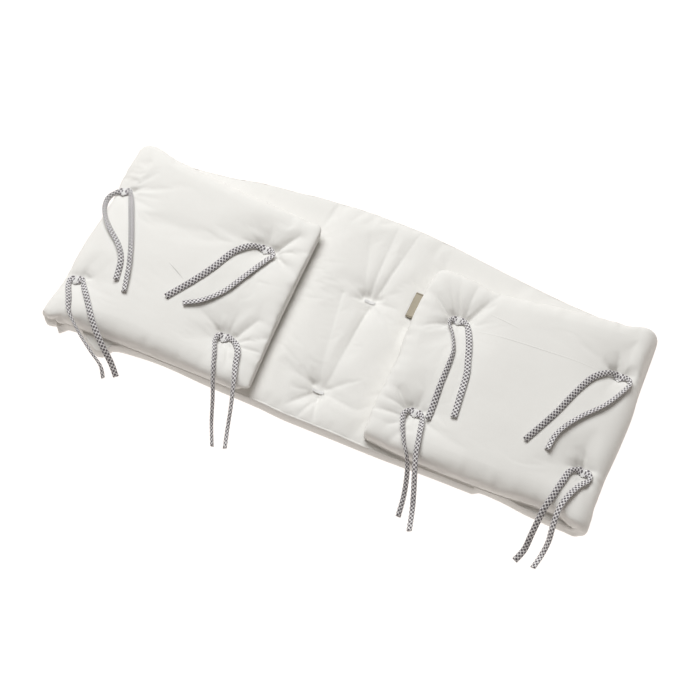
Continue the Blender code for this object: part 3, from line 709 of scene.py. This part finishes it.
def heldShares(start, free):
    # the cover is held at the tacks, and beside the label, where the flap's end presses on it
    for name, part, x, y, deep, reach in tacks:
        root = (tackRoot(part, x, y) + originShift) * mm
        near = np.linalg.norm((start - root)[:, :2], axis=1) < puffing["tackReach"] * mm
        free = np.where(near & (free > 0), 0, free)
    fromLabel = (start[:, :2] / mm - puffing["labelAt"]) / puffing["labelReach"]
    return 1 - free * (1 - np.exp(-(fromLabel**4).sum(1)))


def puffUp(piece, settings):
    # pressure inside a slightly too large cover raises the puckers
    mesh = piece.data
    count = len(mesh.vertices)
    free, start, settled = np.empty(count), np.empty(count * 3), np.empty(count * 3)
    mesh.attributes["free"].data.foreach_get("value", free)
    mesh.vertices.foreach_get("co", start)
    start = start.reshape(-1, 3)
    tenths = np.rint(heldShares(start, free) * 10)
    held = piece.vertex_groups.new(name="held")
    for level in range(1, 11):
        held.add(np.flatnonzero(tenths == level).tolist(), (level / 10) ** 2, "REPLACE")
    cloth = piece.modifiers.new("cover", "CLOTH")
    cloth.settings.quality = settings["quality"]
    cloth.settings.mass = settings["mass"]
    cloth.settings.tension_stiffness = settings["stretching"]
    cloth.settings.compression_stiffness = settings["stretching"]
    cloth.settings.shear_stiffness = settings["shearing"]
    cloth.settings.bending_stiffness = settings["bending"]
    cloth.settings.use_pressure = True
    cloth.settings.uniform_pressure_force = settings["pressure"]
    cloth.settings.shrink_min = -settings["grow"]
    cloth.settings.effector_weights.gravity = 0
    cloth.settings.vertex_group_mass = "held"
    cloth.collision_settings.use_collision = False
    cloth.point_cache.frame_start, cloth.point_cache.frame_end = 1, settings["frames"]
    for step in range(1, settings["frames"] + 1):
        scene.frame_set(step)
    evaluated = piece.evaluated_get(bpy.context.evaluated_depsgraph_get()).to_mesh()
    evaluated.vertices.foreach_get("co", settled)
    # no place moves further than the cover's slack
    moved = settled.reshape(-1, 3) - start
    length = np.linalg.norm(moved, axis=1, keepdims=True) + 1e-12
    most = settings["furthest"] * mm
    moved *= most * np.tanh(length / most) / length
    piece.modifiers.remove(cloth)
    piece.vertex_groups.remove(held)
    mesh.vertices.foreach_set("co", (start + moved).ravel())
    mesh.update()
    scene.frame_set(1)
    print("cover puffed up, furthest", round(float(length.max()) * 1000, 1), "mm")


laidSurface = BVHTree.FromObject(pad, bpy.context.evaluated_depsgraph_get())
puffUp(pad, puffing)


def setClothMap(piece):
    # the weave follows the cloth: the map is the distance along and across the band, in millimetres
    mesh = piece.data
    count = len(mesh.vertices)
    place, corner = np.empty(count * 3), np.empty(len(mesh.loops), int)
    mesh.attributes["place"].data.foreach_get("vector", place)
    mesh.loops.foreach_get("vertex_index", corner)
    clothMap = mesh.uv_layers.new(name="cloth")
    clothMap.data.foreach_set("uv", place.reshape(-1, 3)[corner, :2].ravel())
    mesh.attributes.remove(mesh.attributes["free"])
    mesh.attributes.remove(mesh.attributes["covered"])


setClothMap(pad)
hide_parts("pad")
padSurface = BVHTree.FromObject(pad, bpy.context.evaluated_depsgraph_get())


def clothHeight(x, y, reachX, reachY, surface=padSurface):
    # the highest cloth within reach, in millimetres, or the surface it lies on
    highest = 0.0
    for k in range(9):
        turn = k * math.pi / 4
        aside = Vector((reachX * math.cos(turn), reachY * math.sin(turn), 0)) if k < 8 else Vector()
        above = (Vector((x, y, 100)) + Vector(originShift) + aside) * mm
        hit = surface.ray_cast(above, Vector((0, 0, -1)))[0]
        if hit:
            highest = max(highest, hit.z / mm)
    return highest


def smoothRoute(points, step):
    # a curve that runs through all the points
    ends = [2 * points[0] - points[1], *points, 2 * points[-1] - points[-2]]
    route = []
    for a, b, c, d in zip(ends, ends[1:], ends[2:], ends[3:]):
        steps = max(1, round((c - b).length / step))
        for t in (k / steps for k in range(steps)):
            bend = (2 * a - 5 * b + 4 * c - d) * t**2 + (3 * b - a - 3 * c + d) * t**3
            route.append(0.5 * (2 * b + (c - a) * t + bend))
    return [*route, points[-1]]


def wrapTube(name, route, shape, around, material, ridges=0, ridgeDepth=0.0):
    # a flattened tube along a route in millimetres; shape has a width, thickness and tilt for
    # each place, and its map is in millimetres along and turns around
    bm = bmesh.new()
    clothMap = bm.loops.layers.uv.new("cloth")
    last = len(route) - 1
    bmesh.ops.create_grid(bm, x_segments=last, y_segments=around, size=0.5, calc_uvs=True)
    lengths = [0.0]
    for a, b in zip(route, route[1:]):
        lengths.append(lengths[-1] + (b - a).length)
    for face in bm.faces:
        for loop in face.loops:
            u, v = loop.vert.co.x + 0.5, loop.vert.co.y + 0.5
            loop[clothMap].uv = (lengths[round(u * last)], v)
    for vert in bm.verts:
        k = round((vert.co.x + 0.5) * last)
        width, thick, tilt = shape[k]
        turn = (vert.co.y + 0.5) * 2 * math.pi
        ahead = (route[min(k + 1, last)] - route[max(k - 1, 0)]).normalized()
        level = ahead.cross(Vector((0, 0, 1))).normalized()
        up = level.cross(ahead)
        side = level * math.cos(tilt) + up * math.sin(tilt)
        up = up * math.cos(tilt) - level * math.sin(tilt)
        bulge = 1 + ridgeDepth * (math.cos(ridges * turn) - 1)
        across, high = width / 2 * math.cos(turn), thick / 2 * math.sin(turn) * bulge
        vert.co = (route[k] + side * across + up * high + Vector(originShift)) * mm
    bmesh.ops.remove_doubles(bm, verts=bm.verts[:], dist=1e-7)
    rims = [edge for edge in bm.edges if edge.is_boundary]
    if rims:
        bmesh.ops.holes_fill(bm, edges=rims, sides=0)
    return finishPiece(name, bm, material)


# the seam is a thin folded edge that stands out all round, less at the back
seamEdge = dict(width=2.6, thick=1.5, back=0.45, spacing=2.4, wobble=0.5, wobbleSize=16)


def makeSeam(settings):
    lines, crosses = padGrid()
    lastLine, lastCross = len(lines) - 1, len(crosses) - 1
    loop = [(k, 0) for k in range(lastLine)] + [(lastLine, k) for k in range(lastCross)]
    loop += [(k, lastCross) for k in range(lastLine, 0, -1)]
    loop += [(0, k) for k in range(lastCross, 0, -1)]
    line, cross = np.array([lines[k] for k, n in loop]), np.array([crosses[n] for k, n in loop])
    points = clothFace(line, cross, False)[0]
    route = [Vector(points[0])]
    for point in points[1:]:
        if (Vector(point) - route[-1]).length > settings["spacing"]:
            route.append(Vector(point))
    for point in route:
        place = Vector((point.x, point.y, 0)) / settings["wobbleSize"]
        point.z += settings["wobble"] * noise.noise(place)
    route.append(route[0].copy())
    sizes = [1 - (1 - settings["back"]) * min(max((p.y + 40) / 120, 0), 1) for p in route]
    shape = [(settings["width"] * size, settings["thick"] * size, 0.0) for size in sizes]
    wrapTube("seam_edge", route, shape, 8, cottonLook)


makeSeam(seamEdge)
print("seam made")

# the ties: flat braided cord with two free tails, flat under the tack and tilted where it turns
braid = dict(
    width=8.5, thick=3.4, clear=0.15, step=2.2, around=20, flat=9, tilt=0.6, tiltAt=15, tiltReach=9,
    sightShift=(0.225, -0.506),  # the way along the cloth for each millimetre up the line of sight
)
# how far each tail is turned on its edge: place along the tail, radians
turned = {
    "tie_1_left": ((0, 0.3), (20, 0.9), (60, 0.8), (90, 0.5)),
    "tie_1_right": ((0, 0.3), (150, 0.6)),
    "tie_2_left": ((0, 0.3), (40, 0.6), (90, 1.2), (140, 1.1)),
    "tie_2_right": ((0, 0.3), (100, 0.45)),
    "tie_3_left": ((0, 0.4), (150, 0.5)),
    "tie_3_right": ((0, 0.4), (150, 0.35)),
    "tie_4_left": ((0, 0.3), (20, 0.9), (70, 1.0), (120, 1.2)),
    "tie_4_right": ((0, 0.3), (40, 0.4), (110, 0.9)),
    "tie_5_left": ((0, 0.3), (20, 1.2), (60, 1.1), (100, 0.7), (150, 0.4)),
    "tie_5_right": ((0, 0.2), (150, 0.2)),
    "tie_6_left": ((0, 0.3), (30, 0.7), (70, 1.0), (110, 0.8)),
    "tie_6_right": ((0, 0.3), (50, 0.7), (110, 0.7)),
    "tie_7_left": ((0, 0.3), (100, 0.6)),
    "tie_7_right": ((0, 0.3), (20, 0.8), (100, 0.6)),
    "tie_8_left": ((0, 0.3), (100, 0.5)),
    "tie_8_right": ((0, 0.3), (100, 0.6)),
}
# away from the tack: width and thickness, pressed wide where it is sewn and bunched where it turns
braidShape = smoothCurve(
    [(0, 11.6), (4.5, 11.2), (9, 7.4), (14, 6.6), (26, 8.2), (40, 8.5), (300, 8.5)]
)
braidHeight = smoothCurve([(0, 2.0), (4.5, 2.2), (9, 3.4), (14, 3.6), (26, 3.4), (300, 3.3)])
# from the tack to the free end: x, y, and a height where the tail hangs clear of the pad
tails = {
    "tie_1_left": (
        (-374, 50, 37), (-380, 40, 37), (-380, 27, 38), (-370, 7), (-352, -12), (-328, -32),
        (-314, -52), (-306, -81),
    ),
    "tie_1_right": ((-357, 54), (-350, 44), (-339, 25), (-316, -19), (-301, -53), (-288, -93)),
    "tie_2_left": (
        (-365, -100), (-362, -111), (-351, -129), (-340, -148), (-318, -166, 38), (-295, -180, 28),
        (-278, -188, 14), (-270, -198, 3),
    ),
    "tie_2_right": (
        (-349, -96), (-343, -104), (-329, -120), (-305, -149), (-284, -168, 36), (-267, -179, 16),
        (-256, -189, 3),
    ),
    "tie_3_left": ((-158, 46), (-169, 40), (-184, 21), (-197, -11), (-213, -42), (-234, -78)),
    "tie_3_right": (
        (-141, 47), (-136, 38), (-141, 26), (-155, -9), (-169, -39), (-188, -62), (-210, -77),
    ),
    "tie_4_left": (
        (-149, -98), (-149, -108), (-140, -127), (-130, -152), (-119, -178, 30), (-110, -203, 9),
        (-97, -229, 3),
    ),
    "tie_4_right": (
        (-134, -95), (-122, -102), (-114, -113), (-109, -129), (-101, -151), (-93, -178, 30),
        (-88, -202, 9), (-81, -225, 3),
    ),
    "tie_5_left": (
        (118, 49), (117, 39), (124, 30), (133, 14), (139, -2), (141, -24), (142, -49), (145, -84),
        (146, -102),
    ),
    "tie_5_right": (
        (135, 50), (143, 40), (153, 18), (161, -6), (166.5, -24), (171, -57), (175, -88),
    ),
    "tie_6_left": (
        (119, -97), (115, -106), (119, -120), (131, -144), (145, -164, 32), (153, -190, 11),
        (158, -222, 3),
    ),
    "tie_6_right": (
        (135, -98), (140, -107), (146, -131), (151, -152), (158, -172, 36), (165, -190, 18),
        (171, -208, 5), (178, -234, 3),
    ),
    "tie_7_left": ((337, 57), (327, 50), (314, 35), (301, 4), (289, -32), (268, -81)),
    "tie_7_right": (
        (354, 58), (361, 51), (358, 38), (343, 7), (321, -21), (307, -43), (300, -61), (298, -82),
    ),
    "tie_8_left": (
        (342, -89), (334, -98), (331, -113), (327, -137), (323, -157, 43), (320, -183, 24),
        (318, -200, 7), (312, -217, 3),
    ),
    "tie_8_right": (
        (358, -89), (360, -97), (351, -112), (342, -137), (340, -154, 44), (341, -172, 33),
        (342, -183, 18), (340, -197, 5), (336, -217, 3),
    ),
}


def lyingHeight(x, y, reach):
    return clothHeight(x, y, reach, reach) + braid["thick"] / 2 + braid["clear"]


def tailRoute(tack, tail):
    name, face, x, y, deep, reach = tack
    points = [Vector((x, y, lyingHeight(x, y, braid["width"] / 3)))]
    for x, y, *height in tail:
        if height:
            points.append(Vector((x, y, height[0])))
            continue
        # where the cover puffs up, the tail moves back along the line of sight
        rise = clothHeight(x, y, 4, 4) - clothHeight(x, y, 4, 4, laidSurface)
        x, y = x + braid["sightShift"][0] * rise, y + braid["sightShift"][1] * rise
        points.append(Vector((x, y, lyingHeight(x, y, braid["width"] / 2))))
    route = smoothRoute(points, braid["step"])
    # it lies on the cloth or above it, and bends smoothly
    lying = [lyingHeight(p.x, p.y, braid["width"] / 2) for p in route]
    high = [max(p.z, z) for p, z in zip(route, lying)]
    for turn in range(3):
        inner = [(a + 2 * b + c) / 4 for a, b, c in zip(high, high[1:], high[2:])]
        high = [max(a, b) for a, b in zip([high[0], *inner, high[-1]], lying)]
    for point, z in zip(route, high):
        point.z = z
    return route


def makeTail(name, tail):
    tie, hand = name.rsplit("_", 1)
    tack = next(row for row in tacks if row[0] == tie.replace("tie", "tack"))
    route = tailRoute(tack, tail)
    edgeOn = smoothCurve([*turned[name], (400, turned[name][-1][1])])
    side = 1 if hand == "left" else -1
    shape, gone = [], 0.0
    for k, point in enumerate(route):
        gone += (point - route[k - 1]).length if k else 0.0
        bent = braid["tilt"] * math.exp(-(((gone - braid["tiltAt"]) / braid["tiltReach"]) ** 2))
        tilt = max(float(edgeOn(gone)), bent) * (1 - math.exp(-((gone / braid["flat"]) ** 2)))
        shape.append((float(braidShape(gone)), float(braidHeight(gone)), side * tilt))
    for point, (width, thick, tilt) in zip(route, shape):
        # a tail on its edge stands higher on the cloth
        halfHeight = math.hypot(width * math.sin(tilt), thick * math.cos(tilt)) / 2
        point.z += halfHeight - thick / 2
    piece = wrapTube(name, route, shape, braid["around"], braidLook)
    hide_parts(tie)
    path = [(p + Vector(originShift)) * mm for p in route]
    return gone


tailLengths = {name: round(makeTail(name, tail), 1) for name, tail in tails.items()}
print("tails made, mm long:", tailLengths)

# the bar tacks: threads side by side over each tie, or flat on the panel
bar = dict(
    width=4.8, thick=1.3, span=7.0, panelSpan=7.6, clear=0.15, rise=0.25, threads=7,
    cordThick=2.0, steps=19, around=56, ridgeDepth=0.22,
)


def makeTack(tack):
    name, face, x, y, deep, reach = tack
    flat = face == 1
    over = 0.0
    if not flat:
        cordMiddle = lyingHeight(x, y, braid["width"] / 3)
        over = cordMiddle + (bar["cordThick"] + bar["thick"]) / 2 + bar["rise"]
    route, half = [], bar["width"] / 2
    for share in np.linspace(-1, 1, bar["steps"]):
        if flat:
            px, py, reachX, reachY = x + share * bar["panelSpan"], y, 0, half
        else:
            px, py, reachX, reachY = x, y + share * bar["span"], half, 0
        lying = clothHeight(px, py, reachX, reachY) + bar["thick"] / 2 + bar["clear"]
        arch = max(over - lying, 0) * (1 - abs(share) ** 5)
        route.append(Vector((px, py, lying + arch)))
    # the bar narrows a little at both ends
    ends = [1 - 0.35 * abs(share) ** 6 for share in np.linspace(-1, 1, bar["steps"])]
    shape = [(bar["width"] * end, bar["thick"] * end, 0.0) for end in ends]
    piece = wrapTube(
        name + "_threads", route, shape, bar["around"], threadLook,
        ridges=2 * bar["threads"], ridgeDepth=bar["ridgeDepth"],
    )
    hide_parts(name)


for tack in tacks:
    makeTack(tack)
print("tacks made")

# the label: a folded loop of woven tape, left blank
label = dict(
    long=40.0, deep=12.0, thick=0.24, gap=0.7, bend=0.35, root=68.4, y=56.0, z=25.8,
    alongFaces=24, loopFaces=22,
)


def makeLabel(settings):
    bm = bmesh.new()
    clothMap = bm.loops.layers.uv.new("cloth")
    faces, loops = settings["alongFaces"], settings["loopFaces"]
    bmesh.ops.create_grid(bm, x_segments=faces, y_segments=loops, size=0.5, calc_uvs=True)
    long, deep, radius = settings["long"], settings["deep"], settings["gap"] / 2
    for face in bm.faces:
        for loop in face.loops:
            u, v = loop.vert.co.x + 0.5, loop.vert.co.y + 0.5
            loop[clothMap].uv = (u * long, v * 2 * deep)
    straight, halfRound = deep - radius, math.pi * radius
    for vert in bm.verts:
        u, v = vert.co.x, vert.co.y + 0.5
        go = v * (2 * straight + halfRound)
        if go < straight:
            x, z = go, radius
        elif go < straight + halfRound:
            turn = (go - straight) / radius
            x, z = straight + radius * math.sin(turn), radius * math.cos(turn)
        else:
            x, z = 2 * straight + halfRound - go, -radius
        bend = settings["bend"] * math.sin(u * math.pi * 2.3 + 0.5) * x / deep
        place = Vector((settings["root"] - x, settings["y"] + u * long, settings["z"] + z + bend))
        vert.co = (place + Vector(originShift)) * mm
    bmesh.ops.recalc_face_normals(bm, faces=bm.faces[:])
    bmesh.ops.solidify(bm, geom=bm.faces[:], thickness=settings["thick"] * mm)
    piece = finishPiece("blank_label", bm, tapeLook)
    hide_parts("label")


makeLabel(label)
print("label made")

# the floor glows a little, so that it stays as pale as the photograph's
pale = dict(size=60.0, base=0.05, glow=(1.0, 0.945, 0.91), strength=1.1, below=0.0005)


def makeFloor(settings):
    bm = bmesh.new()
    bmesh.ops.create_grid(bm, x_segments=1, y_segments=1, size=settings["size"])
    mesh = bpy.data.meshes.new("floor")
    bm.to_mesh(mesh)
    bm.free()
    look = Look("pale_floor", 0.6)
    look.set("Base Color", (settings["base"],) * 3 + (1,))
    look.set("Emission Color", (*settings["glow"], 1))
    look.set("Emission Strength", settings["strength"])
    mesh.materials.append(look.material)
    floor = bpy.data.objects.new("floor", mesh)
    floor.location.z = -settings["below"]
    scene.collection.objects.link(floor)


def aim(obj, place, target):
    obj.location = place
    obj.rotation_euler = (Vector(place) - Vector(target)).to_track_quat("Z", "Y").to_euler()
    scene.collection.objects.link(obj)


# one soft window behind and to the left, and a dim warm room; places in metres
window = dict(place=(-1.3, 1.55, 3.25), size=2.4, power=142, colour=(0.97, 0.99, 1.0))
room = dict(colour=(1.0, 0.93, 0.86), strength=0.24)


def makeLight(settings):
    lamp = bpy.data.lights.new("window", "AREA")
    lamp.size, lamp.energy, lamp.color = settings["size"], settings["power"], settings["colour"]
    aim(bpy.data.objects.new("window", lamp), settings["place"], (0, 0, 0.02))
    scene.world = bpy.data.worlds.new("studio")
    scene.world.use_nodes = True
    sky = scene.world.node_tree.nodes["Background"]
    sky.inputs["Color"].default_value = (*room["colour"], 1)
    sky.inputs["Strength"].default_value = room["strength"]
    scene.view_settings.view_transform = "Standard"


# the camera looks as the photograph's did: degrees round to the right and up, and metres
view = dict(azimuth=24, elevation=61, distance=2.28, lens=90, target=(0.0104, -0.03458, 0.020))


def makeCamera(settings):
    turn, lift = math.radians(settings["azimuth"]), math.radians(settings["elevation"])
    flat = math.cos(lift)
    away = Vector((math.sin(turn) * flat, -math.cos(turn) * flat, math.sin(lift)))
    camera = bpy.data.objects.new("camera", bpy.data.cameras.new("camera"))
    camera.data.lens, camera.data.sensor_width = settings["lens"], 36
    aim(camera, Vector(settings["target"]) + settings["distance"] * away, settings["target"])
    scene.camera = camera


makeFloor(pale)
makeLight(window)
makeCamera(view)
print("floor, light and camera set")
